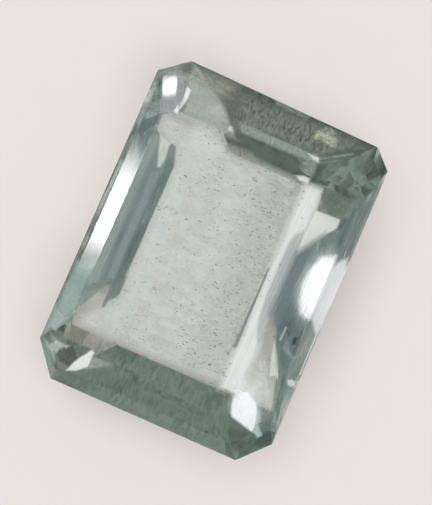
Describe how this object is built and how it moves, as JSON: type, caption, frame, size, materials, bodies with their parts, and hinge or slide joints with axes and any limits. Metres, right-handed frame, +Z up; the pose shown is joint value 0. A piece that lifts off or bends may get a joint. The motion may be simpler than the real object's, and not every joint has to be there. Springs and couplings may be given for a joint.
{
  "type": "faceted gemstone",
  "caption": "Loose emerald-cut aquamarine: a long octagonal step-cut beryl with a broad table, a stepped pavilion and a flat culet.",
  "frame": {"origin": "centre of the bounding box's bottom, on the flat culet", "axes": "+Z up through the table, +Y along the long side, +X across the short side"},
  "size_m": [0.0132, 0.018, 0.006],
  "materials": {
    "beryl": "polished, clear to slightly included, pale grey-green"
  },
  "bodies": {
    "root": {"gemstone": "beryl"}
  },
  "joints": []
}
